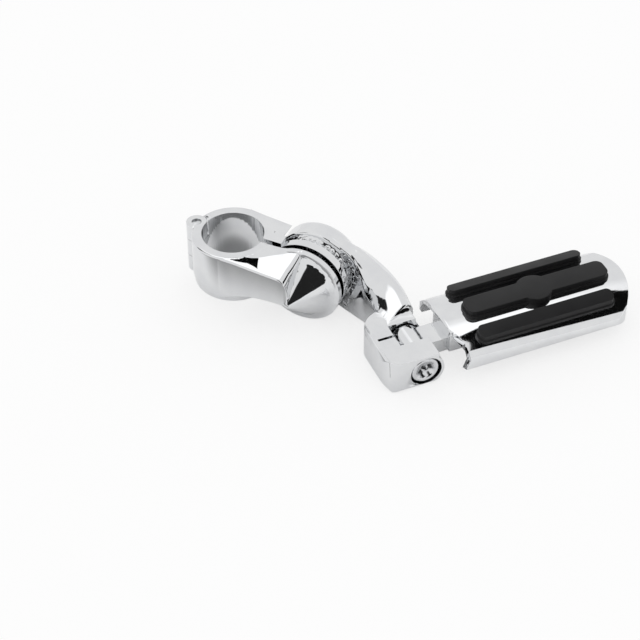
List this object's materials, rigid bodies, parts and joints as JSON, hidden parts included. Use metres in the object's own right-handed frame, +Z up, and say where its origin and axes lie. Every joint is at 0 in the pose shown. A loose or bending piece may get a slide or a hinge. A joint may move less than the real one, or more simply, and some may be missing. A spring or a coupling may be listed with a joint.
{
  "type": "highway footpeg bracket",
  "caption": "Chromed hinged tube clamp with a turning cranked arm that carries a fold-up footpeg with rubber pads.",
  "frame": {"origin": "on the axis of the clamp's bore, at the middle of the jaws' height", "axes": "+Z up along the bore, along the engine guard tube; +X from the bore towards the clamp bolt, along the slit between the jaws; +Y from the pointed front jaw towards the arm's hub"},
  "size_m": [0.2189, 0.1214, 0.042],
  "materials": {
    "chromed_casting": "mirror chrome on cast metal",
    "bright_fastener": "bright plated steel",
    "pad_rubber": "satin black moulded rubber"
  },
  "bodies": {
    "clamp": {"clamp_rear_jaw": "chromed_casting", "hinge_pin": "bright_fastener", "clamp_bolt": "bright_fastener", "clamp_bolt_washer": "bright_fastener"},
    "front_jaw": {"clamp_front_jaw": "chromed_casting"},
    "arm": {"arm": "chromed_casting", "pivot_bolt": "bright_fastener", "pivot_washer": "bright_fastener", "spring_washer": "bright_fastener", "pivot_nut": "bright_fastener"},
    "peg": {"peg_body": "chromed_casting", "peg_tongue": "chromed_casting", "tongue_screws": "bright_fastener", "tongue_screw_washers": "bright_fastener", "front_pad": "pad_rubber", "centre_pad": "pad_rubber", "rear_pad": "pad_rubber", "pad_screws": "bright_fastener", "pad_screw_washers": "bright_fastener", "end_screw": "bright_fastener"}
  },
  "joints": [
    {"name": "jaw_hinge", "type": "hinge", "parent": "clamp", "child": "front_jaw", "pos_m": [-0.02077, 0, 0], "axis": [0, 0, 1], "range_deg": [0, 1.8]},
    {"name": "arm_swivel", "type": "hinge", "parent": "clamp", "child": "arm", "pos_m": [0.04, 0.0094, -0.0035], "axis": [0, 1, 0], "range_deg": [-75, 75]},
    {"name": "peg_fold", "type": "hinge", "parent": "arm", "child": "peg", "pos_m": [0.1025, -0.0109, -0.0145], "axis": [0.7431, -0.6691, 0], "range_deg": [0, 85]}
  ]
}
